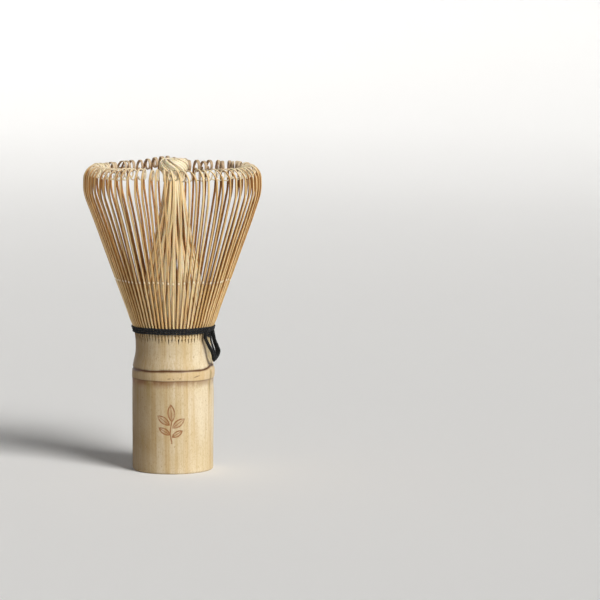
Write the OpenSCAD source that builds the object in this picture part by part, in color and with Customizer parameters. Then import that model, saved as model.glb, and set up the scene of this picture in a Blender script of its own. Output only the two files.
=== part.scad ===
// Bamboo tea whisk (chasen): one culm, split above its node into outer and inner tines,
// with a single black thread woven and wound round the roots of the tines.
// Millimetres, +Z up. The origin is the centre of the foot, and the front faces -Y.

/* [Culm] */
// Radius of the grip, the internode below the node
grip_r = 13.8; // [13.5:0.05:14.2]
// Radius of the hollow in the grip, open at the foot
bore_r = 9; // [7:0.1:10]
// Height of the grip's straight round wall
grip_h = 26.2; // [20:0.1:27]
// Height of the node's ridge
node_z = 34.1; // [33:0.1:35]
// How far the ridge stands out at the node
node_rise = 0.5; // [0.3:0.02:0.9]
// Radius of the neck, the internode above the node
neck_r = 13.2; // [12.9:0.05:13.4]
// Thickness of the wall that closes the culm at its node
diaphragm = 2.6; // [1.5:0.1:4]

/* [Outer tines] */
// Sections that the culm is split into
sections = 18; // [12:1:18]
// Outer tines in one section, with as many inner ones
section_tines = 4; // [2:1:4]
// Width of an outer tine along the rim
outer_w = 0.66; // [0.4:0.02:0.8]
// Thickness of an outer tine at its root
outer_t = 0.9; // [0.5:0.05:0.95]
// Thickness of an outer tine along its curl
curl_t = 0.4; // [0.3:0.05:0.5]
// Lean of the outer tines away from the axis, in degrees
flare = 20; // [18:0.1:20.5]
// Radius of the curl at the tips, along its middle
curl_r = 1.65; // [1.2:0.05:1.8]
// Height at which the outer tines are widest
rim_z = 98.4; // [96:0.1:100]
// Widest radius that the outer tines reach
rim_r = 30.65; // [30:0.05:31]

/* [Inner tines] */
// Width of an inner tine
inner_w = 0.34; // [0.2:0.02:0.36]
// Thickness of an inner tine
inner_t = 0.4; // [0.3:0.02:0.5]
// Height of the bundle's tip, the highest point of the whisk
tip_z = 107.2; // [104:0.1:108]

/* [Thread] */
// Diameter of the thread
thread_d = 0.6; // [0.5:0.02:0.7]
// Height of the middle of the three wound courses
band_z = 48.42; // [48.35:0.01:48.45]

/* [Hidden] */
$fn = 72;
eps = 0.01;

// slits and roots
pitch_a = 360 / (sections * section_tines);
slit_z = 44.8;
slit_w = 0.48;
slit_reach = 0.35;
tooth_top = 49.4;
tooth_top_r = 14.1;
outer_ring_r = 12.85;
inner_ring_r = 11.5;
inner_ring_top = 47.2;
inner_ring_hollow = 10.5;
channel_z = 46;

// the node's profile: the ridge's width, the waist under it, and the sheath's scar and the start
// of the neck, given from the ridge
node_w = 2.2;
waist_below = 4.8;
waist_w = 1.7;
waist_cut = 0.35;
scar_above = 1.3;
scar_w = 0.45;
scar_cut = 0.3;
neck_above = 0.6;
neck_blend = 5;

// the culm's hollow
diaphragm_top = 32.8;
bore_h = diaphragm_top - diaphragm;
neck_hollow_r = 9.9;
foot_round = 0.8;

// the hollow groove that the bud leaves above the node
bud_a = 80;
bud_cut_r = 5;
bud_depth = 0.75;

// outer tines: the root leaves the thread steeply, and the rim is three arcs that run on from
// one another, a long shoulder, a turn and the curl
root_z = 49.72;
root_r = 14.3;
knee_z = 55;
shoulder_r = 33;
turn_z = 100.4;
turn_r = 5;
turn_end_a = 60;
curl_end_a = 240;

// inner tines: each layer's share of the bundle's radius, in the order round the culm, and the
// bundle's radius at its waist, where it gathers, at its neck and under the tip
layer_shares = [1, 0.57, 0.78, 0.36];
inner_root_r = 11.3;
waist_r = 9.3;
waist_z = 67.6;
gather_r = 5.2;
gather_z = 88.6;
bundle_neck_r = 3.9;
bundle_neck_z = 97.6;
tuft_r = 4.6;
tuft_h = 3.4;

// thread
course_pitch = thread_d + 0.02;
course_radii = [14.05, 14.21, 14.39];
weave_r = 12.17;
knot_a = 68;
knot_r = 1.1;
knot_centre_r = 15.1;

// the free loop of thread: out of the knot, three times round, and back into it
loop_route = [
  [14.10, -5.40, 48.20],
  [14.00, -5.05, 47.20],
  [13.95, -4.70, 46.00],
  [14.27, -4.20, 44.40],
  [14.77, -3.95, 42.80],
  [15.15, -3.90, 41.30],
  [15.05, -3.95, 40.00],
  [14.72, -4.45, 38.65],
  [14.40, -5.85, 37.98],
  [14.05, -7.28, 38.72],
  [13.88, -7.85, 40.10],
  [13.45, -7.90, 41.50],
  [12.60, -8.00, 43.10],
  [11.80, -8.40, 44.90],
  [11.25, -9.15, 46.25],
  [11.40, -9.80, 47.45],
  [12.12, -9.70, 48.30],
  [13.05, -8.95, 48.60],
  [13.80, -8.00, 48.20],
  [14.10, -7.25, 47.35],
  [14.15, -6.30, 46.30],
  [14.37, -5.55, 45.20],
  [14.75, -4.90, 43.90],
  [15.30, -4.42, 42.60],
  [15.72, -4.27, 41.30],
  [15.60, -4.35, 40.10],
  [15.25, -4.85, 39.02],
  [14.92, -6.20, 38.42],
  [14.65, -7.65, 39.02],
  [14.42, -8.26, 40.15],
  [14.02, -8.27, 41.50],
  [13.20, -8.42, 43.10],
  [12.32, -8.75, 44.90],
  [11.80, -9.62, 46.25],
  [11.98, -10.35, 47.50],
  [12.65, -10.20, 48.60],
  [13.45, -9.45, 48.97],
  [14.24, -8.64, 48.58],
  [14.50, -7.88, 47.45],
  [14.66, -7.02, 46.40],
  [14.80, -6.15, 45.40],
  [15.25, -5.42, 44.10],
  [15.82, -4.85, 42.70],
  [16.28, -4.62, 41.40],
  [16.10, -4.75, 40.25],
  [15.70, -5.30, 39.40],
  [15.38, -6.32, 39.05],
  [15.08, -7.22, 39.45],
  [14.92, -7.78, 40.45],
  [14.60, -7.85, 41.60],
  [14.02, -7.82, 43.20],
  [13.52, -7.85, 44.90],
  [13.35, -7.40, 46.20],
  [13.45, -6.75, 47.10],
  [13.85, -6.05, 47.80],
];
loop_sides = 8;

function section_name(base, i) = str(base, i < 10 ? "_0" : "_", i);
function smooth(t) = let (u = max(0, min(1, t))) u * u * (3 - 2 * u);
function mix(a, b, t) = a + (b - a) * t;
function bump(z, centre, width) = exp(-pow((z - centre) / width, 2));

// Radius of the culm's skin at a height: the grip, the waist, the node's ridge, the scar that
// the sheath leaves on it, the neck, and the roots spreading under the thread.
function skin_r(z) =
    mix(grip_r, neck_r, smooth((z - node_z - neck_above) / neck_blend))
    + node_rise * bump(z, node_z, node_w)
    - waist_cut * bump(z, node_z - waist_below, waist_w)
    - scar_cut * bump(z, node_z + scar_above, scar_w)
    + (tooth_top_r - neck_r) * pow(max(0, z - slit_z) / (tooth_top - slit_z), 1.4);

// The culm's outline: foot, grip, node, neck, the two rings of tooth roots, and the hollows.
culm_outline = concat(
    [for (a = [-90:15:0]) [grip_r - foot_round + foot_round * cos(a), foot_round + foot_round * sin(a)]],
    [[grip_r, grip_h]],
    [for (z = [grip_h + 0.5:0.5:tooth_top - 0.2]) [skin_r(z), z]],
    [
        [tooth_top_r, tooth_top],
        [outer_ring_r, tooth_top],
        [outer_ring_r, channel_z],
        [inner_ring_r, channel_z],
        [inner_ring_r, inner_ring_top],
        [inner_ring_hollow, inner_ring_top],
        [neck_hollow_r, slit_z - 1],
        [neck_hollow_r, diaphragm_top],
        [0, diaphragm_top],
        [0, bore_h],
        [bore_r, bore_h],
        [bore_r, 0]
    ]
);

// Points along an arc about a centre, from one angle to another
function arc(centre, radius, from, to, step) =
    [for (a = [from:step:to + eps]) centre + radius * [cos(a), sin(a)]];

// Centreline of an outer tine as [r, z] points: root, straight flare, shoulder, turn and curl
rim_line_r = rim_r - curl_t / 2;
shoulder_centre = [rim_line_r - shoulder_r, rim_z];
turn_centre = [rim_line_r - turn_r, turn_z];
curl_centre = turn_centre + (turn_r - curl_r) * [cos(turn_end_a), sin(turn_end_a)];
shoulder = arc(shoulder_centre, shoulder_r, -flare, 0, flare / 4);
knee = [shoulder[0][0] - tan(flare) * (shoulder[0][1] - knee_z), knee_z];
root = [root_r - outer_t / 2, root_z];
outer_line = concat(
    [root, [mix(root[0], knee[0], 0.52), mix(root[1], knee[1], 0.45)], knee],
    shoulder,
    arc(turn_centre, turn_r, 0, turn_end_a - 15, 15),
    arc(curl_centre, curl_r, turn_end_a, curl_end_a, 20)
);

// Centreline of an inner tine: in from the root to the waist, then up the bundle to its tip,
// each layer reaching its share of the radius by the time the bundle has gathered
function inner_line(share) = [
    [inner_root_r - inner_t / 2, inner_ring_top],
    [mix(inner_root_r, waist_r, 0.5) - 0.4 * (1 - share), mix(inner_ring_top, waist_z, 0.5)],
    [waist_r * mix(1, share, 0.15), waist_z],
    [mix(waist_r, gather_r, 0.5) * mix(1, share, 0.5), mix(waist_z, gather_z, 0.5)],
    [gather_r * share, gather_z],
    [bundle_neck_r * share, bundle_neck_z],
    [tuft_r * share, tip_z - tuft_h],
    [tuft_r * share * 0.85, tip_z - 0.3 * tuft_h * share]
];

// Unit normal of a centreline at one point, from its neighbours on both sides
function line_normal(line, i) =
    let (d = line[min(i + 1, len(line) - 1)] - line[max(i - 1, 0)])
    [d[1], -d[0]] / norm(d);

function thickness(i, n, root, tip) = mix(root, tip, smooth(i * 1.6 / n));

// A strip of the given thickness laid along a centreline, as a closed outline
function strip(line, root, tip) =
    let (n = len(line) - 1)
    concat(
        [for (i = [0:n]) line[i] + line_normal(line, i) * thickness(i, n, root, tip) / 2],
        [for (i = [n:-1:0]) line[i] - line_normal(line, i) * thickness(i, n, root, tip) / 2]
    );

// Stands an [r, z] outline up at an angle from the front, with a width across it
module blade(angle, width) {
    rotate([0, 0, angle - 90])
        rotate([90, 0, 0])
            linear_extrude(height = width, center = true)
                children();
}

module handle() {
    color([0.80, 0.66, 0.44])
        difference() {
            rotate_extrude()
                polygon(culm_outline);
            for (i = [0:sections * section_tines - 1]) {
                slit(i * pitch_a, outer_ring_r, tooth_top_r);
                slit((i + 0.5) * pitch_a, inner_ring_hollow, inner_ring_r);
            }
            bud_groove();
        }
}

// A slit through one of the two rings of tooth roots, from the slits' lower end up
module slit(angle, from_r, to_r) {
    rotate([0, 0, angle - 90])
        translate([from_r - slit_reach, -slit_w / 2, slit_z])
            cube([to_r - from_r + 2 * slit_reach, slit_w, tooth_top]);
}

// The bud's groove is a shallow scoop that runs up the neck from the node.
module bud_groove() {
    rotate([0, 0, bud_a - 90])
        translate([neck_r - bud_depth + bud_cut_r, 0, node_z + 3.4])
            rotate([0, -2, 0])
                cylinder(r = bud_cut_r, h = 6.6);
}

// Angle of a tine from the front: the first section is centred on it
function tine_angle(section, tine) =
    ((section - 1) * section_tines + tine - (section_tines - 1) / 2) * pitch_a;

module outer_tines(section) {
    color([0.86, 0.73, 0.48])
        for (tine = [0:section_tines - 1])
            blade(tine_angle(section, tine), outer_w)
                polygon(strip(outer_line, outer_t, curl_t));
}

// The inner tines stand between the outer ones, and the layers of the bundle take turns.
module inner_tines(section) {
    color([0.84, 0.66, 0.38])
        for (tine = [0:section_tines - 1])
            let (layer = ((section - 1) * section_tines + tine) % len(layer_shares))
            blade(tine_angle(section, tine + 0.5), inner_w)
                polygon(strip(inner_line(layer_shares[layer]), inner_t, inner_t * 0.8));
}

module thread_ring(radius, height, diameter) {
    color([0.07, 0.07, 0.09])
        translate([0, 0, height])
            rotate_extrude()
                translate([radius, 0])
                    circle(d = diameter, $fn = 24);
}

module thread_weave() {
    for (turn = [0:1])
        thread_ring(weave_r, channel_z + thread_d / 2 + eps + turn * course_pitch, thread_d);
}

// One of the wound courses: -1 is the lowest, 1 the highest
module thread_course(level) {
    thread_ring(course_radii[level + 1], band_z + level * course_pitch, thread_d);
}

module thread_knot() {
    color([0.07, 0.07, 0.09])
        rotate([0, 0, knot_a - 90])
            translate([knot_centre_r, 0, band_z])
                sphere(r = knot_r);
}

// The tube swept along the loop's route
function unit(v) = v / norm(v);
function tangent(line, i) = unit(line[min(i + 1, len(line) - 1)] - line[max(i - 1, 0)]);
function across(t, side) = unit(side - t * (side * t));
// Side directions carried along the line, so that the tube never twists
function carried(line, i = 0, side = [0, 1, 0], done = []) =
    i == len(line)
        ? done
        : let (s = across(tangent(line, i), side)) carried(line, i + 1, s, concat(done, [s]));

module tube(line, diameter, sides) {
    frames = carried(line);
    points = [
        for (i = [0:len(line) - 1])
            let (t = tangent(line, i), u = frames[i], v = cross(t, u))
            for (k = [0:sides - 1])
                line[i] + diameter / 2 * (u * cos(360 * k / sides) + v * sin(360 * k / sides))
    ];
    rings = len(line);
    walls = [
        for (i = [0:rings - 2])
            for (k = [0:sides - 1])
                let (a = i * sides, b = a + sides, next = (k + 1) % sides)
                    [a + k, a + next, b + next, b + k]
    ];
    ends = [
        [for (k = [sides - 1:-1:0]) k],
        [for (k = [0:sides - 1]) (rings - 1) * sides + k]
    ];
    polyhedron(points, concat(walls, ends));
}

module thread_loop() {
    color([0.09, 0.09, 0.11])
        tube(loop_route, thread_d, loop_sides);
}

handle();
for (i = [1:sections])
    outer_tines(i);
for (i = [1:sections])
    inner_tines(i);
thread_weave();
thread_course(-1);  // thread_course_lower
thread_course(0);  // thread_course_middle
thread_course(1);  // thread_course_upper
thread_knot();
thread_loop();
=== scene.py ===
import math
import random

import bpy
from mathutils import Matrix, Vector


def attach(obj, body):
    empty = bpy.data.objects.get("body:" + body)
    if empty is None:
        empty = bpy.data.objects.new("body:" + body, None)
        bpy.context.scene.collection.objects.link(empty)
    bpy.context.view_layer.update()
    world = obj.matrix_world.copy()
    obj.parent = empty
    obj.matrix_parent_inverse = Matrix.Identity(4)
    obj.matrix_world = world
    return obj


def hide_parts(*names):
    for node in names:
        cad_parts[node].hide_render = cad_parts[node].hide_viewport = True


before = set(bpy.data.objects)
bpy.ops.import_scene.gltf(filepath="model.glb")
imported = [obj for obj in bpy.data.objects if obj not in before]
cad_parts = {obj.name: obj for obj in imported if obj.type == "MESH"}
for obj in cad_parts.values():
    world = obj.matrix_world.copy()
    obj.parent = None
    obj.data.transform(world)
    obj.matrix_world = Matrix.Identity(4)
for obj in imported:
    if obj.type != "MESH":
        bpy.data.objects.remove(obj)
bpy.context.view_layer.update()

# Lengths in this script are millimetres until a mesh is made. Angles round the whisk are degrees
# from the front (-Y) towards the knot's side (+X).
MM = 0.001
ROOT = "culm"
SECTIONS = 18
SECTION_TINES = 4
TINES = SECTIONS * SECTION_TINES
PITCH = 360 / TINES

# culm
GRIP_R, NECK_R, BORE_R = 13.8, 13.2, 9.0
FOOT_ROUND = 0.8
BORE_H, DIAPHRAGM_TOP = 30.2, 32.8
NODE_Z = 34.1
NECK_HOLLOW_R = 9.9
TOOTH_TOP, TOOTH_TOP_R, SLIT_Z = 49.3, 13.6, 44.8
SLIT_HALF_WIDTH, SLIT_DEPTH = 0.37, 1.15
OUTER_RING_R, INNER_RING_R, INNER_RING_HOLLOW = 12.85, 11.5, 10.5
CHANNEL_Z, INNER_RING_TOP = 46.0, 47.2
BUD_A = 80
GROOVE_DEPTH, GROOVE_EDGE = 0.8, 4.6

# The culm's skin in rows of points: how many there are in a row, and where the rows change
PLAIN_STEPS, GRIP_STEPS, NODE_STEPS, TEETH_STEPS = 180, 360, 720, 1440
NODE_ROWS_Z, NECK_ROWS_Z, TEETH_ROWS_Z = 30, 37.5, 42.6

# outer tines
TINE_FOOT = (13.15, 47.9)
ROOT_Z, ROOT_R, KNEE_Z = 49.72, 13.45, 55.0
FLARE = 20
RIM_R, RIM_Z = 30.2, 98.4
SHOULDER_R = 15.0
TURN_Z, TURN_R, TURN_END = 100.4, 5.0, 60
CURL_R = 1.78
OUTER_WIDTH, OUTER_THICKNESS = (0.74, 0.68), (0.95, 0.62)

# inner tines
INNER_WIDTH, INNER_THICKNESS, TUFT_SPREAD = (0.9, 0.66), (0.42, 0.34), 0.16

# thread
THREAD_D = 0.6
BAND_Z = 48.42
COURSE_PITCH = THREAD_D + 0.02
COURSE_RADII = (14.05, 14.21, 14.39)
BAND_RAISE, BAND_STEP, BAND_INSET = 0.22, 0.73, 0.42
WEAVE_R = 12.17
KNOT_A, KNOT_R, KNOT_DROP = 60, 15.05, 0.8
# Thread outside the culm is drawn fluffed up. A twist is the length of one turn of the plies.
FLUFFED_D, KNOT_D = THREAD_D * 1.3, THREAD_D * 1.15
FLUFFED_TWIST, THREAD_TWIST = 1.9, 1.75

# The free loop's route, the same points as in the CAD model, in metres
LOOP_ROUTE = [
    (0.01410, -0.00540, 0.04820),
    (0.01400, -0.00505, 0.04720),
    (0.01395, -0.00470, 0.04600),
    (0.01427, -0.00420, 0.04440),
    (0.01477, -0.00395, 0.04280),
    (0.01515, -0.00390, 0.04130),
    (0.01505, -0.00395, 0.04000),
    (0.01472, -0.00445, 0.03865),
    (0.01440, -0.00585, 0.03798),
    (0.01405, -0.00728, 0.03872),
    (0.01388, -0.00785, 0.04010),
    (0.01345, -0.00790, 0.04150),
    (0.01260, -0.00800, 0.04310),
    (0.01180, -0.00840, 0.04490),
    (0.01125, -0.00915, 0.04625),
    (0.01140, -0.00980, 0.04745),
    (0.01212, -0.00970, 0.04830),
    (0.01305, -0.00895, 0.04860),
    (0.01380, -0.00800, 0.04820),
    (0.01410, -0.00725, 0.04735),
    (0.01415, -0.00630, 0.04630),
    (0.01437, -0.00555, 0.04520),
    (0.01475, -0.00490, 0.04390),
    (0.01530, -0.00442, 0.04260),
    (0.01572, -0.00427, 0.04130),
    (0.01560, -0.00435, 0.04010),
    (0.01525, -0.00485, 0.03902),
    (0.01492, -0.00620, 0.03842),
    (0.01465, -0.00765, 0.03902),
    (0.01442, -0.00826, 0.04015),
    (0.01402, -0.00827, 0.04150),
    (0.01320, -0.00842, 0.04310),
    (0.01232, -0.00875, 0.04490),
    (0.01180, -0.00962, 0.04625),
    (0.01198, -0.01035, 0.04750),
    (0.01265, -0.01020, 0.04860),
    (0.01345, -0.00945, 0.04897),
    (0.01424, -0.00864, 0.04858),
    (0.01450, -0.00788, 0.04745),
    (0.01466, -0.00702, 0.04640),
    (0.01480, -0.00615, 0.04540),
    (0.01525, -0.00542, 0.04410),
    (0.01582, -0.00485, 0.04270),
    (0.01628, -0.00462, 0.04140),
    (0.01610, -0.00475, 0.04025),
    (0.01570, -0.00530, 0.03940),
    (0.01538, -0.00632, 0.03905),
    (0.01508, -0.00722, 0.03945),
    (0.01492, -0.00778, 0.04045),
    (0.01460, -0.00785, 0.04160),
    (0.01402, -0.00782, 0.04320),
    (0.01352, -0.00785, 0.04490),
    (0.01335, -0.00740, 0.04620),
    (0.01345, -0.00675, 0.04710),
    (0.01385, -0.00605, 0.04780),
]


# ---------------------------------------------------------------- small maths

def mix(a, b, t):
    return a + (b - a) * t


def smooth(t):
    t = min(1.0, max(0.0, t))
    return t * t * (3 - 2 * t)


def ramp(z, start, end):
    return smooth((z - start) / (end - start))


def bump(x, centre, width):
    return math.exp(-(((x - centre) / width) ** 2))


def turn(a, b):
    """The signed angle from b to a, in degrees, the short way round."""
    return (a - b + 180) % 360 - 180


def radial(a):
    """The outward direction at an angle from the front."""
    a = math.radians(a)
    return Vector((math.sin(a), -math.cos(a), 0))


def tangent(a):
    """The sideways direction at an angle, to the right as seen from outside."""
    a = math.radians(a)
    return Vector((math.cos(a), math.sin(a), 0))


def head_shift(z):
    """The culm isn't quite straight: above its node it stands a little to the knot's side."""
    return Vector((0.4 * ramp(z, 30, 44) - 0.25 * ramp(z, 84, 98), 0, 0))


def wander(a, seed):
    """A slow closed variation round the whisk, about -1 to 1."""
    a = math.radians(a)
    waves = ((2, 1.0, 1.0), (5, 0.7, 2.3), (9, 0.5, 4.1))
    return sum(size * math.sin(count * a + phase * seed) for count, size, phase in waves) / 1.6


def catmull(points, t):
    """A smooth curve through a list of equal-length tuples, t from 0 to 1."""
    last = len(points) - 1
    i = min(last - 1, int(t * last))
    f = t * last - i
    a, b = points[max(0, i - 1)], points[i]
    c, d = points[i + 1], points[min(last, i + 2)]
    return tuple(
        0.5 * (2 * q + (r - p) * f + (2 * p - 5 * q + 4 * r - s) * f * f + (3 * q - p - 3 * r + s) * f ** 3)
        for p, q, r, s in zip(a, b, c, d)
    )


def even_steps(points, count):
    """Resamples a polyline of Vectors at equal distances."""
    lengths = [0.0]
    for p, q in zip(points, points[1:]):
        lengths.append(lengths[-1] + (q - p).length)
    out, j = [], 0
    for i in range(count):
        want = lengths[-1] * i / (count - 1)
        while j < len(points) - 2 and lengths[j + 1] < want:
            j += 1
        span = lengths[j + 1] - lengths[j] or 1
        out.append(points[j].lerp(points[j + 1], (want - lengths[j]) / span))
    return out


# ---------------------------------------------------------------- meshes

SHARP_ANGLE = 50


class Shape:
    """Collects vertices with named values, and faces, in millimetres."""

    def __init__(self, *names):
        self.verts, self.faces = [], []
        self.values = {name: [] for name in names}

    def add(self, p, **values):
        self.verts.append((p[0] * MM, p[1] * MM, p[2] * MM))
        for name, got in self.values.items():
            got.append(values.get(name, 0.0))
        return len(self.verts) - 1

    def bridge(self, low, high, closed=True):
        """Quads between two rows of equal length."""
        n = len(low)
        for i in range(n if closed else n - 1):
            j = (i + 1) % n
            self.faces.append((low[i], low[j], high[j], high[i]))

    def refine(self, coarse, fine):
        """Joins a closed row to one with a whole multiple of its vertices."""
        n, k = len(coarse), len(fine) // len(coarse)
        for i in range(n):
            top = [fine[(i * k + j) % len(fine)] for j in range(k, -1, -1)]
            self.faces.append((coarse[i], coarse[(i + 1) % n], *top))

    def coarsen(self, fine, coarse):
        """The same, from the finer row to the coarser one."""
        n, k = len(coarse), len(fine) // len(coarse)
        for i in range(n):
            low = [fine[(i * k + j) % len(fine)] for j in range(k + 1)]
            self.faces.append((*low, coarse[(i + 1) % n], coarse[i]))

    def make(self, name, material, body, nodes=()):
        mesh = bpy.data.meshes.new(name)
        mesh.from_pydata(self.verts, [], self.faces)
        for key, got in self.values.items():
            mesh.attributes.new(key, "FLOAT", "POINT").data.foreach_set("value", got)
        mesh.polygons.foreach_set("use_smooth", [True] * len(mesh.polygons))
        mesh.update()
        mesh.set_sharp_from_angle(angle=math.radians(SHARP_ANGLE))
        obj = bpy.data.objects.new(name, mesh)
        bpy.context.scene.collection.objects.link(obj)
        obj.data.materials.append(material)
        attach(obj, body)
        if nodes:
            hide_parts(*nodes)
        return obj


def sweep(shape, rings, closed_ends=True):
    """Joins rings of vertex numbers into a tube with flat ends."""
    for low, high in zip(rings, rings[1:]):
        shape.bridge(low, high)
    if closed_ends:
        shape.faces.append(tuple(reversed(rings[0])))
        shape.faces.append(tuple(rings[-1]))


# A tine's section in half widths and half thicknesses, clockwise seen from its root: flat flesh
# inside, a rounded skin outside
TINE_SECTION = (
    (0.82, -1.0), (-0.82, -1.0), (-1.0, -0.7), (-1.0, 0.45), (-0.72, 0.9),
    (0.0, 1.08), (0.72, 0.9), (1.0, 0.45), (1.0, -0.7),
)


def tine(shape, line, sideways, width, thickness, **values):
    """Lays a tine's section along a line of points. width and thickness are functions of 0 to 1."""
    rings = []
    for i, p in enumerate(line):
        t = i / (len(line) - 1)
        along = (line[min(i + 1, len(line) - 1)] - line[max(i - 1, 0)]).normalized()
        across = (sideways[i] - along * sideways[i].dot(along)).normalized()
        out = across.cross(along)
        w, h = width(t) / 2, thickness(t) / 2
        rings.append([
            shape.add(p + across * (x * w) + out * (y * h), skin=float(y > 0.8), along=t, **values)
            for x, y in TINE_SECTION
        ])
    sweep(shape, rings)


# ---------------------------------------------------------------- culm

SLIT_ENDS = [
    45.05 + 0.7 * math.sin(2.1 * i) * math.sin(0.37 * i + 1) - 0.3 * math.sin(5.3 * i) for i in range(TINES)
]
# Short cracks in the node's ridge: angle, height over the ridge, length, slope
CRACKS = ((-2.6, -1.4, 1.3, 0.15), (3.5, -1.5, 0.5, 0.0), (12.5, -1.4, 0.8, 0.1), (37.0, -0.9, 2.8, 0.28))


def shade_side(a):
    """0 on the side that faces the key light, where the culm's marks are palest, 1 opposite, where its
    colour is painted darker as shade.
    """
    return 0.5 - 0.5 * math.sin(math.radians(a + 10))


def scar_z(a):
    """Height of the line that the sheath leaves round the node. It climbs at the bud."""
    return NODE_Z + 1.05 + 0.16 * wander(a, 0.7) + 1.1 * bump(turn(a, BUD_A - 2), 0, 20)


def crease_z(a):
    """Height of the ridge's lower edge."""
    return NODE_Z - 2.25 + 0.14 * wander(a, 2.9)


def crack(z, a):
    """How deep a crack is here, 0 to 1."""
    deep = 0.0
    for angle, height, length, slope in CRACKS:
        s = math.radians(turn(a, angle)) * GRIP_R
        if abs(s) < length / 2:
            deep = max(deep, bump(z - NODE_Z - height - slope * s, 0, 0.13) * (1 - (2 * s / length) ** 2))
    return deep


def slit(z, a):
    """How deep a slit between two teeth is here, 0 to 1."""
    i = round(a / PITCH)
    half = SLIT_HALF_WIDTH * max(0.0, ramp(z, SLIT_ENDS[i % TINES] - 0.3, 48.0)) ** 0.5
    s = abs(math.radians(a - i * PITCH)) * NECK_R
    return min(1.0, max(0.0, 2.0 * (1 - s / half))) if half > 0.02 else 0.0


def skin(z, a):
    """The culm's radius at a height and an angle, with the marks on its skin there."""
    side = shade_side(a)
    # Two internodes, the node's swelling, the dip below it and the step at the ridge's lower edge
    r = mix(GRIP_R, NECK_R, ramp(z, NODE_Z + 1.1, NODE_Z + 7))
    r += mix(0.4, 0.0, side) * bump(z, NODE_Z, 2.4) - mix(0.16, 0.06, side) * bump(z, NODE_Z - 4.4, 1.8)
    r += 0.42 * (1 - side) * (1 - ramp(z, NODE_Z - 5, NODE_Z + 2))
    step = ramp(z, crease_z(a) - 0.2, crease_z(a) + 0.25)
    step *= 1 - ramp(z, NODE_Z - 0.4, NODE_Z + 2.6)
    r += mix(0.2, 0.1, side) * step
    # The grip narrows to its foot on the side that faces the key light, the teeth lean out, and the neck has
    # a waist
    r -= 0.35 * (1 - side) * (1 - ramp(z, 0, 24))
    r += (TOOTH_TOP_R - NECK_R) * (max(0.0, z - SLIT_Z) / (TOOTH_TOP - SLIT_Z)) ** 1.4
    r += 0.06 * wander(a, 1.3) * ramp(z, 2, 12) - 0.26 * side * bump(z, 42, 4.6)
    # The sheath's scar, with a lip under it
    scar = bump(z, scar_z(a), mix(0.34, 0.48, side) * (1 + 0.2 * wander(3 * a, 1.9)))
    lip = bump(z, scar_z(a) - 0.55, 0.3)
    r += 0.06 * lip - mix(0.16, 0.24, side) * scar
    # The bud's groove, which widens upwards, with a sunken edge and a spot where the bud was
    half = mix(13, 30, ramp(z, NODE_Z + 0.6, 48.5))
    d = turn(a, BUD_A) / half
    facet = max(0.0, 1 - d * d) ** 0.6 * ramp(z, scar_z(a) + 0.2, NODE_Z + 5)
    r -= GROOVE_DEPTH * facet
    edge = bump(turn(a, BUD_A) + half, 0, GROOVE_EDGE)
    edge *= ramp(z, NODE_Z + 1.6, NODE_Z + 3) * (1 - 0.3 * ramp(z, 43, 47))
    spot = bump(turn(a, BUD_A - 4), 0, 3.4) * bump(z, NODE_Z + 2.2, 0.55)
    deep, cut = crack(z, a), slit(z, a)
    r -= 0.16 * deep + SLIT_DEPTH * cut + 0.12 * edge + 0.12 * spot

    below = crease_z(a) - z
    right_streak = bump(turn(a, 66), 0, 2.4) * ramp(z, 25, 30) * (1 - ramp(z, NODE_Z, NODE_Z + 1.5))
    left_streak = bump(turn(a, -34), 0, 5) * ramp(z, 20, 30) * (1 - ramp(z, NODE_Z - 2.6, NODE_Z - 2))
    marks = {
        # The scar and the bud's marks are stains, the cracks are darkened, and the slits get painted shade
        # in their depth
        "stain_and_slit_shade": min(1.0, 1.15 * scar + 0.8 * edge + spot + 0.9 * deep + 1.2 * cut),
        "warm": ramp(-below, -0.3, 0.2) * (1 - ramp(z, scar_z(a) - 0.2, scar_z(a) + 0.5)),
        # Below the ridge: smudges, and painted shade under it, heavier on the shaded side
        "under": ramp(below, -0.15, 0.15) * (1 - ramp(below, 0.6, 2.8)) * mix(0.5, 1.0, side),
        # A dark line in the crease: stain and painted shade, heavier on the shaded side
        "crease_stain_and_shade": bump(below, 0.12, 0.24) * mix(0.55, 1.0, side),
        "olive": right_streak + 0.7 * left_streak,
        "facet": facet,
        # How far the skin is painted darker, as aged patches and painted shade on the side away from the key
        # light
        "side": side ** 1.55,
    }
    return r, marks


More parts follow.
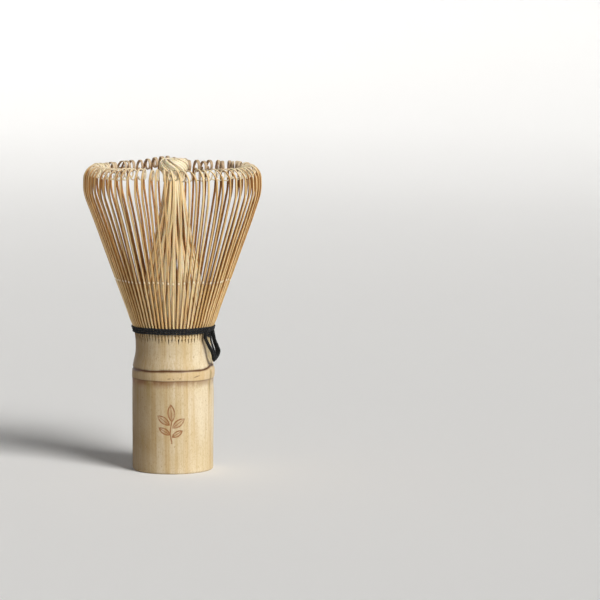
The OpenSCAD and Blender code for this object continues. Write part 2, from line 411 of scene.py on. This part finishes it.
def handle(material):
    """The culm as one closed skin: hollow of the grip, foot, outside, teeth, and hollow of the neck."""
    shape = Shape("stain_and_slit_shade", "warm", "under", "crease_stain_and_shade", "olive", "facet", "side", "cut")

    def plain(r, z, rough=0.0):
        row = []
        for i in range(PLAIN_STEPS):
            a = 360 * i / PLAIN_STEPS
            place = radial(a) * (r + rough * wander(a, z)) + head_shift(z) + Vector((0, 0, z))
            row.append(shape.add(place, cut=1.0))
        return row

    def outside(z, count, inset=0.0, height=None):
        row = []
        for i in range(count):
            a = 360 * i / count
            r, marks = skin(z, a)
            up = Vector((0, 0, z if height is None else height))
            row.append(shape.add(radial(a) * (r - inset) + head_shift(z) + up, **marks))
        return row

    hollow = [plain(0.4, BORE_H), plain(6.5, BORE_H - 0.15), plain(BORE_R - 0.5, BORE_H - 0.5, 0.05)]
    hollow += [plain(BORE_R, z, 0.08) for z in (BORE_H - 1.2, 22, 15, 8, 2, 0.3)]
    hollow += [plain(BORE_R + 0.3, 0.0, 0.08), plain(GRIP_R - FOOT_ROUND - 0.6, 0.0)]
    grip = []
    for degrees in range(-90, 1, 15):
        t = math.radians(degrees)
        grip.append(outside(0, GRIP_STEPS, FOOT_ROUND * (1 - math.cos(t)), FOOT_ROUND * (1 + math.sin(t))))
    grip += [outside(z, GRIP_STEPS) for z in range(2, NODE_ROWS_Z + 1)]
    node = [outside(NODE_ROWS_Z + 0.15 * (i + 1), NODE_STEPS) for i in range(50)]
    node += [outside(NECK_ROWS_Z + 0.6 * (i + 1), NODE_STEPS) for i in range(8)]
    teeth = [outside(mix(TEETH_ROWS_Z, TOOTH_TOP, i / 24), TEETH_STEPS) for i in range(25)]
    inner = [plain(r, z) for r, z in (
        (OUTER_RING_R, TOOTH_TOP), (OUTER_RING_R, CHANNEL_Z), (INNER_RING_R, CHANNEL_Z),
        (INNER_RING_R, INNER_RING_TOP), (INNER_RING_HOLLOW, INNER_RING_TOP),
        (NECK_HOLLOW_R, SLIT_Z - 1), (NECK_HOLLOW_R, DIAPHRAGM_TOP + 0.8),
        (NECK_HOLLOW_R - 0.8, DIAPHRAGM_TOP), (0.4, DIAPHRAGM_TOP - 0.2))]
    for group in (hollow, grip, node, teeth, inner):
        for low, high in zip(group, group[1:]):
            shape.bridge(low, high)
    shape.refine(hollow[-1], grip[0])
    shape.refine(grip[-1], node[0])
    shape.refine(node[-1], teeth[0])
    shape.coarsen(teeth[-1], inner[0])
    shape.faces.append(tuple(reversed(hollow[0])))
    shape.faces.append(tuple(inner[-1]))
    return shape.make("culm_handle", material, ROOT, ["handle"])


# ---------------------------------------------------------------- outer tines

def arc(centre, radius, start, end, step):
    """Points of an arc in the (radius, height) plane, angles in degrees from outwards to up."""
    count = max(1, round(abs(end - start) / step))
    for i in range(1, count + 1):
        t = math.radians(mix(start, end, i / count))
        yield centre[0] + radius(i / count) * math.cos(t), centre[1] + radius(i / count) * math.sin(t)


def outer_profile(rng):
    """An outer tine's centreline as (radius, height) points: root, flare, shoulder, turn, curl."""
    curl_r = CURL_R * rng.uniform(1.02, 1.2)
    curl_end = rng.uniform(330, 415)
    flare, end = math.radians(FLARE), math.radians(TURN_END)
    shoulder_centre = (RIM_R - SHOULDER_R, RIM_Z)
    turn_centre = (RIM_R - TURN_R, TURN_Z)
    inset = TURN_R - curl_r
    curl_centre = (turn_centre[0] + inset * math.cos(end), turn_centre[1] + inset * math.sin(end))
    start = (shoulder_centre[0] + SHOULDER_R * math.cos(flare), RIM_Z - SHOULDER_R * math.sin(flare))
    knee = (start[0] - math.tan(flare) * (start[1] - KNEE_Z), KNEE_Z)
    bend = (mix(ROOT_R, knee[0], 0.52), mix(ROOT_Z, KNEE_Z, 0.45))
    root = [TINE_FOOT, (ROOT_R, ROOT_Z), bend, knee]
    points = [catmull(root, i / 12) for i in range(12)]
    points += [(mix(knee[0], start[0], i / 16), mix(knee[1], start[1], i / 16)) for i in range(17)]
    points += arc(shoulder_centre, lambda t: SHOULDER_R, -FLARE, 0, 2.5)
    points += arc(turn_centre, lambda t: TURN_R, 0, TURN_END, 7.5)
    points += arc(curl_centre, lambda t: curl_r * (1 - 0.16 * t), TURN_END, curl_end, 12)
    return points


def gap(a):
    """How far a tine has strayed sideways at the rim to leave the two gaps in the back."""
    shift = 0.0
    for at, size in ((156.2, 1.9), (209, 1.0)):
        d = turn(a, at)
        shift += math.copysign(size * bump(d, 0, 9), d)
    return shift


def outer_tine(shape, a, rng):
    """One outer tine, with its own drift, lean, lift and bow, and its own swing of the curl."""
    angle = math.radians(a)
    drift = gap(a) + 0.8 * wander(a, 3.1) + rng.uniform(-0.65, 0.65)
    lean = rng.uniform(-0.25, 0.0) + 0.15 * math.sin(angle)
    lift = rng.uniform(-0.45, 0.1) + 1.3 * bump(turn(a, 190), 0, 11) - 0.4 - 0.3 * bump(a, 0, 50)
    bow = rng.uniform(-0.25, 0.25)
    far = 0.5 - 0.5 * math.cos(angle)
    stirred = 16 * wander(a, 5.2) + rng.uniform(-12, 12)
    opened = mix(40, 26, far) * math.sin(-2 * angle) * math.cos(angle)
    swing = math.radians(opened + stirred - 20 * far ** 2)
    tint = rng.random()
    points = []
    for r, z in outer_profile(rng):
        t = min(1, max(0, (z - ROOT_Z) / (RIM_Z - ROOT_Z)))
        up = smooth(t)
        inward = max(0.0, RIM_R - r) * ramp(z, TURN_Z - 4, TURN_Z) if t == 1 else 0.0
        middle = math.sin(math.pi * t)
        here = a + drift * up
        reach = r + inward * (1 - math.cos(swing)) + lean * up + bow * middle * 0.5
        aside = bow * middle + inward * math.sin(swing)
        place = radial(here) * reach + tangent(here) * aside
        points.append(place + head_shift(z) + Vector((0, 0, z + lift * up)))
    line = even_steps(points, 92)
    sideways = []
    for p in line:
        q = p - head_shift(p.z)
        turned = math.degrees(swing) * ramp(p.z, TURN_Z - 1, TURN_Z + 1)
        sideways.append(tangent(math.degrees(math.atan2(q.x, -q.y)) - turned))

    def width(t):
        spread = far ** 2 * mix(0.3, 0.6, tint) * ramp(t, 0.8, 0.88)
        return mix(*OUTER_WIDTH, ramp(t, 0.1, 0.6)) + spread - 0.2 * ramp(t, 0.86, 0.94)

    def thickness(t):
        return mix(*OUTER_THICKNESS, ramp(t, 0.1, 0.7)) - 0.28 * ramp(t, 0.74, 0.9)

    tine(shape, line, sideways, width, thickness, tint=tint, back=far)


def outer_sections(material):
    rng = random.Random(72)
    for section in range(SECTIONS):
        shape = Shape("skin", "along", "tint", "back")
        for k in range(SECTION_TINES):
            outer_tine(shape, (section * SECTION_TINES + k - (SECTION_TINES - 1) / 2) * PITCH, rng)
        name = f"{section + 1:02d}"
        shape.make(f"outer_section_tines_{name}", material, f"outer_section_{name}",
                   [f"outer_tines_{name}"])


# ---------------------------------------------------------------- inner tines

LAYER_SHARES = (1.0, 0.74, 0.9, 0.5)
LAYER_SWIRLS = (24, -14, 6, 32)
TUFT_TURN = -125
NECK_OF_TUFT_Z = 100.4


def bundle_lean(z):
    """The bundle's top stands a little to the knot's side of the head."""
    return head_shift(z) + Vector((0.6 * ramp(z, 76, 103), 0, 0))


def inner_tine(shape, a, layer, rng):
    """One inner tine: in from its root, up the bundle with a swirl, and over into the tuft."""
    share = LAYER_SHARES[layer] * rng.uniform(0.93, 1.04)
    swirl = LAYER_SWIRLS[layer] + rng.uniform(-7, 7)
    fold = TUFT_TURN * rng.uniform(0.85, 1.1)
    top = mix(104.2, 106.5, min(1.0, share))
    stray = rng.uniform(-0.2, 0.2)
    low = NECK_OF_TUFT_Z
    # Radius, height and angle from the root
    keys = [
        (11.05, INNER_RING_TOP - 0.3, 0.0),
        (10.4, 57.0, 0.05 * swirl),
        (9.0 * mix(1, share, 0.15) + stray, 68.0, 0.2 * swirl),
        (6.7 * mix(1, share, 0.4) + stray, 78.5, 0.5 * swirl),
        (4.7 * mix(1, share, 0.8) + stray, 88.8, 0.85 * swirl),
        (3.2 * share + 0.15, 97.6, swirl),
        (3.1 * share + 0.2, low, swirl + 0.04 * fold),
        (4.5 * share + 0.2, mix(low, top, 0.42), swirl + 0.3 * fold),
        (4.7 * share, mix(low, top, 0.78), swirl + 0.58 * fold),
        (3.5 * share, top - 0.1, swirl + 0.82 * fold),
        (2.0 * share, top, swirl + 0.95 * fold),
        (0.9 * share + 0.15, top - 0.8, swirl + fold),
    ]
    points = []
    for i in range(241):
        r, z, twist = catmull(keys, i / 240)
        points.append(radial(a + twist) * r + bundle_lean(z) + Vector((0, 0, z)))
    line = even_steps(points, 96)
    sideways = []
    for p in line:
        q = p - bundle_lean(p.z)
        sideways.append(tangent(math.degrees(math.atan2(q.x, -q.y))))
    tine(shape, line, sideways,
         lambda t: mix(*INNER_WIDTH, ramp(t, 0.3, 0.8)) + TUFT_SPREAD * ramp(t, 0.84, 0.9),
         lambda t: mix(*INNER_THICKNESS, t), tint=rng.random())


def inner_bundle(material):
    rng = random.Random(31)
    for section in range(SECTIONS):
        shape = Shape("skin", "along", "tint")
        for k in range(SECTION_TINES):
            index = section * SECTION_TINES + k
            inner_tine(shape, (index - 1) * PITCH, index % len(LAYER_SHARES), rng)
        name = f"{section + 1:02d}"
        shape.make(f"inner_bundle_tines_{name}", material, ROOT, [f"inner_tines_{name}"])


# ---------------------------------------------------------------- thread

def plied(shape, points, diameter, pitch, closed=False):
    """Three strands twisted round a line of evenly spaced points, or round a closed line."""
    strand_r, offset = 0.265 * diameter, 0.235 * diameter
    step = (points[1] - points[0]).length
    turns = len(points) * step / pitch
    if closed:
        turns = round(turns)
    count, side = len(points), Vector((0, 0, 1))
    frames = []
    for i in range(count):
        after = points[(i + 1) % count] if closed else points[min(i + 1, count - 1)]
        before = points[i - 1] if closed else points[max(i - 1, 0)]
        along = (after - before).normalized()
        side = Vector((0, 0, 1)) if closed else side
        side = (side - along * side.dot(along)).normalized()
        frames.append((along, side, along.cross(side)))
    for strand in range(3):
        rings = []
        for i, (along, u, v) in enumerate(frames):
            phase = 2 * math.pi * (strand / 3 + turns * i / count)
            centre = points[i] + (u * math.cos(phase) + v * math.sin(phase)) * offset
            rings.append([
                shape.add(centre + (u * math.cos(t) + v * math.sin(t)) * strand_r, along=float(strand))
                for t in (2 * math.pi * k / 7 for k in range(7))
            ])
        sweep(shape, rings + ([rings[0]] if closed else []), closed_ends=not closed)


def ring_points(radius, height, count, dip=0.0, sway=0.0, seed=0.0):
    """A turn of thread: it dips in between the tines, and sways up and down a little."""
    points = []
    for i in range(count):
        a = 360 * i / count
        r = radius + dip * math.cos(math.radians(TINES * a)) + 0.02 * wander(a, seed)
        z = height + sway * wander(a, seed)
        points.append(radial(a) * r + head_shift(height) + Vector((0, 0, z)))
    return points


def wound_thread(material):
    """The band's three courses, and the two turns between the outer and the inner tines."""
    for level, name in enumerate(("lower", "middle", "upper")):
        shape = Shape("along")
        z = BAND_Z + BAND_RAISE + (level - 1) * BAND_STEP
        ring = ring_points(COURSE_RADII[level] - BAND_INSET, z, 720, 0.05, 0.08, 1.7)
        plied(shape, ring, FLUFFED_D, FLUFFED_TWIST, closed=True)
        shape.make(f"thread_band_{name}", material, ROOT, [f"thread_course_{name}"])
    shape = Shape("along")
    for turn_index in range(2):
        z = CHANNEL_Z + THREAD_D / 2 + turn_index * COURSE_PITCH
        plied(shape, ring_points(WEAVE_R, z, 480, 0.04, 0.02, 0.4), THREAD_D, THREAD_TWIST, closed=True)
    shape.make("thread_weave_turns", material, ROOT, ["thread_weave"])


def knot(material):
    """A small overhand knot, a trefoil, that hangs at the band's lower edge."""
    shape = Shape("along")
    centre = radial(KNOT_A) * KNOT_R + Vector((0, 0, BAND_Z - KNOT_DROP))
    out, side, up = radial(KNOT_A), tangent(KNOT_A), Vector((0, 0, 1))
    points = []
    for i in range(150):
        t = 2 * math.pi * i / 150
        ring = 0.72 + 0.42 * math.cos(3 * t)
        across, above, forward = ring * math.cos(2 * t), 1.1 * ring * math.sin(2 * t), 0.4 * math.sin(3 * t)
        points.append(centre + side * across + up * above + out * forward)
    plied(shape, points, KNOT_D, THREAD_TWIST, closed=True)
    shape.make("thread_knot_wraps", material, ROOT, ["thread_knot"])


def loop(material):
    """The free loop, on the CAD model's own route."""
    dense = [Vector(catmull(LOOP_ROUTE, i / 1080)) for i in range(1081)]
    path = even_steps(dense, 230)
    length = sum((q - p).length for p, q in zip(path, path[1:]))
    shape = Shape("along")
    plied(shape, [p / MM for p in path], FLUFFED_D, FLUFFED_TWIST)
    obj = shape.make("thread_loop_free", material, ROOT, ["thread_loop"])
    tuple(path[0])
    [tuple(p) for p in path]
    return obj


# ---------------------------------------------------------------- materials

def tone(r, g, b):
    """A linear colour from display values of 0 to 255."""
    def channel(v):
        v /= 255
        return v / 12.92 if v <= 0.04045 else ((v + 0.055) / 1.055) ** 2.4
    return channel(r), channel(g), channel(b), 1.0


class Graph:
    """A material's nodes, built by name. Inputs are numbers, colours or other nodes' outputs."""

    def __init__(self, name):
        self.material = bpy.data.materials.new(name)
        self.material.use_nodes = True
        self.tree = self.material.node_tree
        self.tree.nodes.clear()

    def node(self, kind, inputs, **properties):
        made = self.tree.nodes.new(kind)
        for key, value in properties.items():
            setattr(made, key, value)
        for key, value in inputs.items():
            socket = made.inputs[key]
            if isinstance(value, bpy.types.NodeSocket):
                self.tree.links.new(value, socket)
            else:
                socket.default_value = value
        return made

    def position(self, x, y, z):
        """Object coordinates times a scale on each axis, per metre."""
        place = self.node("ShaderNodeTexCoord", {}).outputs["Object"]
        return self.node("ShaderNodeVectorMath", {0: place, 1: (x, y, z)}, operation="MULTIPLY").outputs[0]

    def axes(self):
        place = self.node("ShaderNodeTexCoord", {}).outputs["Object"]
        return self.node("ShaderNodeSeparateXYZ", {0: place}).outputs

    def value(self, name):
        return self.node("ShaderNodeAttribute", {}, attribute_name=name).outputs["Fac"]

    def noise(self, scale, detail=3.0, rough=0.55):
        inputs = {"Vector": self.position(*scale), "Scale": 1.0, "Detail": detail, "Roughness": rough}
        return self.node("ShaderNodeTexNoise", inputs).outputs["Fac"]

    def math(self, operation, a, b=0.0):
        return self.node("ShaderNodeMath", {0: a, 1: b}, operation=operation).outputs[0]

    def span(self, value, start, end, low=0.0, high=1.0):
        inputs = {"Value": value, "From Min": start, "From Max": end, "To Min": low, "To Max": high}
        return self.node("ShaderNodeMapRange", inputs, interpolation_type="SMOOTHSTEP").outputs["Result"]

    def blend(self, amount, a, b):
        return self.node("ShaderNodeMix", {0: amount, 6: a, 7: b}, data_type="RGBA").outputs[2]

    def bump(self, height, strength, distance):
        inputs = {"Height": height, "Strength": strength, "Distance": distance}
        return self.node("ShaderNodeBump", inputs).outputs["Normal"]

    def finish(self, **inputs):
        shader = self.node("ShaderNodeBsdfPrincipled", {k.replace("_", " "): v for k, v in inputs.items()})
        self.node("ShaderNodeOutputMaterial", {"Surface": shader.outputs[0]})
        return self.material


# The mark burned into the grip: a plain sprig of leaves. Each leaf is where two circles overlap:
# its middle (x, z), its lean from upright in degrees, its length and its width.
MARK_Z = 16.7
SPRIG = (
    (0.1, 4.3, 4, 5.6, 2.2),
    (-2.5, 1.8, 52, 4.8, 2.0),
    (2.5, 0.8, -52, 4.8, 2.0),
    (-2.2, -1.9, 58, 4.2, 1.7),
    (2.1, -2.8, -58, 3.8, 1.6),
)


def burned_mark(g):
    """How strongly the skin is burned, 0 to 1: leaf outlines with a vein, on a stem."""
    x, y, z = g.axes()
    x, z = g.math("DIVIDE", x, MM), g.math("SUBTRACT", g.math("DIVIDE", z, MM), MARK_Z)
    lines = []
    for cx, cz, lean, length, width in SPRIG:
        t = math.radians(lean)
        dx, dz = g.math("SUBTRACT", x, cx), g.math("SUBTRACT", z, cz)
        along = g.math("ADD", g.math("MULTIPLY", dx, -math.sin(t)), g.math("MULTIPLY", dz, math.cos(t)))
        across = g.math("ADD", g.math("MULTIPLY", dx, math.cos(t)), g.math("MULTIPLY", dz, math.sin(t)))
        radius = (length * length + width * width) / (4 * width)
        reach = g.math("ADD", g.math("ABSOLUTE", across), radius - width / 2)
        edge = g.math("SQRT", g.math("ADD", g.math("POWER", reach, 2.0), g.math("POWER", along, 2.0)))
        off = g.math("ABSOLUTE", g.math("SUBTRACT", edge, radius))
        inside = g.math("LESS_THAN", edge, radius)
        rim = g.span(off, 0.14, 0.32, 1.0, 0.0)
        vein = g.math("MULTIPLY", g.span(g.math("ABSOLUTE", across), 0.06, 0.2, 1.0, 0.0), inside)
        wash = g.math("MULTIPLY", g.span(along, -0.5 * length, 0.3 * length, 0.62, 0.1), inside)
        lines += [rim, vein, wash]
    bend = g.math("MULTIPLY", g.math("SINE", g.math("MULTIPLY", z, 0.7)), 0.25)
    stem = g.span(g.math("ABSOLUTE", g.math("SUBTRACT", x, bend)), 0.14, 0.3, 1.0, 0.0)
    stem = g.math("MULTIPLY", stem, g.math("LESS_THAN", g.math("ABSOLUTE", g.math("ADD", z, 2.2)), 4.0))
    total = stem
    for line in lines:
        total = g.math("MAXIMUM", total, line)
    patchy = g.span(g.noise((700, 700, 500), 3.0), 0.3, 0.55, 0.45, 1.0)
    front = g.math("LESS_THAN", y, 0.0)
    return g.math("MULTIPLY", g.math("MULTIPLY", total, patchy), front)


def culm_material():
    """Dried bamboo skin: pale straw, fine upright fibres, brown at the node, cut flesh inside. The side away
    from the key light, the ridge's underside, the crease and the slits also get painted shade.
    """
    g = Graph("bamboo_culm_skin")
    fibres = g.noise((1500, 1500, 26), 4.0, 0.6)
    streaks = g.noise((420, 420, 9), 3.0)
    patches = g.noise((110, 110, 70), 4.0)
    grain = g.noise((2600, 2600, 1300), 3.0, 0.7)
    skin_tone = g.blend(g.span(patches, 0.35, 0.68), tone(226, 212, 184), tone(214, 196, 160))
    skin_tone = g.blend(g.span(streaks, 0.42, 0.72, 0.0, 0.6), skin_tone, tone(200, 170, 116))
    skin_tone = g.blend(g.span(fibres, 0.42, 0.75, 0.0, 0.5), skin_tone, tone(188, 156, 104))
    skin_tone = g.blend(g.span(grain, 0.48, 0.72, 0.0, 0.5), skin_tone, tone(176, 146, 96))
    specks = g.span(g.noise((1500, 1500, 900), 2.0), 0.66, 0.74, 0.0, 0.5)
    skin_tone = g.blend(specks, skin_tone, tone(140, 104, 60))
    # The side away from the key light is painted darker brown: partly aged skin, partly painted shade
    aged_and_shaded_side = g.math("MULTIPLY", g.value("side"), g.span(patches, 0.3, 0.7, 0.9, 1.0))
    skin_tone = g.blend(aged_and_shaded_side, skin_tone, tone(118, 84, 14))
    # The ridge's warm band fades out on the shaded side, so that side keeps its painted shade
    lit_side_mask = g.span(g.value("side"), 0.1, 0.7, 1.0, 0.15)
    mottled = g.math("MULTIPLY", lit_side_mask, g.span(streaks, 0.3, 0.7, 0.7, 0.25))
    warm = g.math("MULTIPLY", g.value("warm"), mottled)
    skin_tone = g.blend(warm, skin_tone, tone(204, 173, 124))
    skin_tone = g.blend(g.math("MULTIPLY", g.value("facet"), 0.75), skin_tone, tone(190, 166, 106))
    # Brown blotches under the ridge: partly smudges, partly painted shade
    blotches = g.span(g.noise((420, 420, 300), 5.0), 0.32, 0.58, 0.3, 1.0)
    smudge_and_shade = g.math("MULTIPLY", g.value("under"), blotches)
    skin_tone = g.blend(g.math("MULTIPLY", smudge_and_shade, 0.9), skin_tone, tone(118, 70, 26))
    # Dark line in the crease: partly stain, partly painted shade
    skin_tone = g.blend(g.math("MULTIPLY", g.value("crease_stain_and_shade"), 0.75), skin_tone, tone(92, 54, 22))
    skin_tone = g.blend(g.math("MULTIPLY", g.value("olive"), 0.75), skin_tone, tone(140, 116, 56))
    # Dark brown on the scar, the bud's marks and the cracks, and painted shade in the slits
    skin_tone = g.blend(g.math("MULTIPLY", g.value("stain_and_slit_shade"), 0.95), skin_tone, tone(76, 38, 12))
    mark = burned_mark(g)
    skin_tone = g.blend(g.math("MULTIPLY", mark, 0.85), skin_tone, tone(138, 84, 42))
    cells = g.node("ShaderNodeTexVoronoi", {"Vector": g.position(1900, 1900, 1900), "Scale": 1.0})
    bundles = cells.outputs["Distance"]
    flesh = g.blend(g.span(bundles, 0.15, 0.45), tone(120, 84, 46), tone(216, 188, 136))
    flesh = g.blend(g.span(fibres, 0.4, 0.7, 0.0, 0.5), flesh, tone(196, 160, 104))
    base = g.blend(g.value("cut"), skin_tone, flesh)
    height = g.math("ADD", g.math("MULTIPLY", fibres, 0.6), g.math("MULTIPLY", mark, -1.5))
    normal = g.bump(g.math("ADD", height, g.math("MULTIPLY", grain, 0.35)), 0.4, 0.00008)
    uneven = g.math("ADD", g.math("MULTIPLY", patches, 0.5), g.math("MULTIPLY", fibres, 0.5))
    rough = g.span(uneven, 0.35, 0.7, 0.34, 0.52)
    return g.finish(Base_Color=base, Roughness=rough, Normal=normal, Specular_IOR_Level=0.25)


NICK_Z = 65.6
GLOW_DEPTH = (0.0009, 0.0006, 0.0003)


def tine_material(name, skin, flesh, pale_lit_tip, nick=0.0, back_tip_shade=0.0, glow=0.0):
    """Split bamboo: a satin skin outside and dry fibrous flesh inside, each tine its own shade.

    skin and flesh are a light and a dark tone each; the tone after them is the tips', paler, partly as
    painted light. nick is how strongly the knife's ring of nicks shows, with a painted shadow beside it. The
    argument after nick is how strongly painted shade browns the tips at the back, and glow how much light
    the tine lets through.
    """
    g = Graph(name)
    fibres = g.noise((2600, 2600, 60), 3.0)
    shade = g.value("tint")
    outside = g.blend(shade, *skin)
    inside = g.blend(g.span(fibres, 0.35, 0.7), *flesh)
    inside = g.blend(g.math("MULTIPLY", shade, 0.4), inside, flesh[1])
    base = g.blend(g.value("skin"), inside, outside)
    base = g.blend(g.span(g.noise((500, 500, 30), 3.0), 0.45, 0.75, 0.0, 0.35), base, flesh[1])
    # Paler tips: partly the curls' own pale skin, partly painted light on curls that sit in shade
    base = g.blend(g.span(g.value("along"), 0.8, 0.9, 0.0, 0.9), base, pale_lit_tip)
    # Painted shade: the tips at the back of the whisk are browned
    if back_tip_shade:
        at_tip, at_back = g.span(g.value("along"), 0.8, 0.92), g.span(g.value("back"), 0.55, 0.95, 0.0, back_tip_shade)
        base = g.blend(g.math("MULTIPLY", at_tip, at_back), base, flesh[1])
    z = g.axes()[2]
    wave = g.math("MULTIPLY", g.math("SUBTRACT", g.noise((90, 90, 0), 1.0), 0.5), 0.0022)
    off = g.math("ABSOLUTE", g.math("SUBTRACT", g.math("ADD", z, wave), NICK_Z * MM))
    ring = g.math("MULTIPLY", g.span(off, 0.00022, 0.0005, 1.0, 0.0), g.value("skin"))
    ring = g.math("MULTIPLY", ring, g.span(g.noise((900, 900, 0), 1.0), 0.36, 0.46))
    shadow = g.math("MULTIPLY", g.span(off, 0.0003, 0.001, 1.0, 0.0), g.value("skin"))
    base = g.blend(g.math("MULTIPLY", shadow, 0.3 * nick), base, flesh[1])
    base = g.blend(g.math("MULTIPLY", ring, nick), base, tone(252, 240, 212))
    normal = g.bump(fibres, 0.3, 0.00005)
    rough = g.blend(g.value("skin"), (0.72, 0.72, 0.72, 1), (0.46, 0.46, 0.46, 1))
    return g.finish(Base_Color=base, Roughness=rough, Normal=normal, Specular_IOR_Level=0.3,
                    Subsurface_Weight=glow, Subsurface_Radius=GLOW_DEPTH, Subsurface_Scale=1.0)


def thread_material():
    """Twisted black cotton, matt, with a faint blue cast."""
    g = Graph("black_cotton")
    fuzz = g.noise((5200, 5200, 5200), 4.0, 0.7)
    wear = g.noise((900, 900, 900), 2.0)
    base = g.blend(g.span(fuzz, 0.45, 0.75), tone(9, 10, 13), tone(34, 36, 42))
    base = g.blend(g.span(wear, 0.5, 0.75, 0.0, 0.5), base, tone(24, 25, 28))
    normal = g.bump(fuzz, 0.6, 0.00006)
    rough = g.span(fuzz, 0.2, 0.8, 0.75, 0.95)
    return g.finish(Base_Color=base, Roughness=rough, Normal=normal, Sheen_Weight=0.08, Sheen_Roughness=0.5)


def floor_material():
    g = Graph("pale_floor")
    shade = g.noise((2, 2, 2), 2.0)
    base = g.blend(shade, (0.76, 0.76, 0.76, 1), (0.79, 0.79, 0.79, 1))
    x, y = g.axes()[:2]
    away = g.math("SQRT", g.math("ADD", g.math("POWER", x, 2.0), g.math("POWER", y, 2.0)))
    glow = g.math("MULTIPLY", g.span(away, 0.3, 2.3, 0.05, 0.12), g.span(x, -1.7, -0.5, 0.1, 1.0))
    return g.finish(Base_Color=base, Roughness=0.9, Emission_Color=(1, 1, 1, 1), Emission_Strength=glow)


# ---------------------------------------------------------------- stage, light, camera

# The camera in metres, its tilt in degrees, and the key light with its angle across in degrees
CAMERA_PLACE, CAMERA_TILT, LENS, SENSOR = (0.0437, -1.05, 0.16575), 5.85, 185.3, 36
KEY_FROM, KEY_SPREAD, KEY_STRENGTH, KEY_COLOUR = (0.66, -0.77, 0.76), 24, 3.5, (1.0, 0.985, 0.955)
WORLD_STRENGTH = 0.02


def camera():
    data = bpy.data.cameras.new("camera")
    data.lens = LENS
    data.sensor_width = SENSOR
    obj = bpy.data.objects.new("camera", data)
    bpy.context.scene.collection.objects.link(obj)
    obj.location = CAMERA_PLACE
    obj.rotation_euler = (math.radians(90 - CAMERA_TILT), 0, 0)
    bpy.context.scene.camera = obj


def sun_light(name, direction, spread, strength, colour):
    data = bpy.data.lights.new(name, "SUN")
    data.angle = math.radians(spread)
    data.energy = strength
    data.color = colour
    obj = bpy.data.objects.new(name, data)
    bpy.context.scene.collection.objects.link(obj)
    obj.location = direction
    obj.rotation_euler = (-Vector(direction)).to_track_quat("-Z", "Y").to_euler()


# The floor's outline from the middle out, as (radius, height) in metres: flat, then up into a wall
STAGE = (
    (0.0, 0.0), (0.6, 0.0), (1.6, 0.0), (1.95, 0.03), (2.2, 0.14), (2.38, 0.35), (2.46, 0.65), (2.5, 1.1),
)
STAGE_STEPS = 96


def stage_mesh(material):
    count = STAGE_STEPS
    verts, faces = [(0.0, 0.0, 0.0)], []
    for r, z in STAGE[1:]:
        verts += [tuple(radial(360 * i / count) * r + Vector((0, 0, z))) for i in range(count)]
    for i in range(count):
        faces.append((0, 1 + i, 1 + (i + 1) % count))
        for row in range(len(STAGE) - 2):
            low = 1 + row * count
            faces.append((low + i, low + count + i, low + count + (i + 1) % count, low + (i + 1) % count))
    mesh = bpy.data.meshes.new("stage_floor")
    mesh.from_pydata(verts, [], faces)
    mesh.polygons.foreach_set("use_smooth", [True] * len(mesh.polygons))
    mesh.materials.append(material)
    obj = bpy.data.objects.new("stage_floor", mesh)
    bpy.context.scene.collection.objects.link(obj)


def studio():
    stage_mesh(floor_material())
    sun_light("key", KEY_FROM, KEY_SPREAD, KEY_STRENGTH, KEY_COLOUR)
    world = bpy.data.worlds.new("studio")
    world.use_nodes = True
    background = world.node_tree.nodes["Background"]
    background.inputs["Color"].default_value = (1, 1, 1, 1)
    background.inputs["Strength"].default_value = WORLD_STRENGTH
    bpy.context.scene.world = world
    bpy.context.scene.view_settings.view_transform = "Standard"


camera()
thread = thread_material()
loop(thread)
wound_thread(thread)
knot(thread)
handle(culm_material())
outer_sections(tine_material(
    "bamboo_outer_tine", skin=(tone(234, 208, 158), tone(204, 165, 106)),
    flesh=(tone(198, 148, 86), tone(130, 84, 40)), pale_lit_tip=tone(250, 236, 204), nick=0.8, back_tip_shade=0.65, glow=0.15))
# The inner tines' tones are paler and warmer than the outer ones': their own colour, plus painted light and
# warm bounce for a bundle in the outer tines' shade
inner_bundle(tine_material(
    "bamboo_inner_tine", skin=(tone(255, 234, 194), tone(250, 212, 154)),
    flesh=(tone(248, 208, 152), tone(214, 160, 100)), pale_lit_tip=tone(255, 234, 200), glow=0.4))
studio()
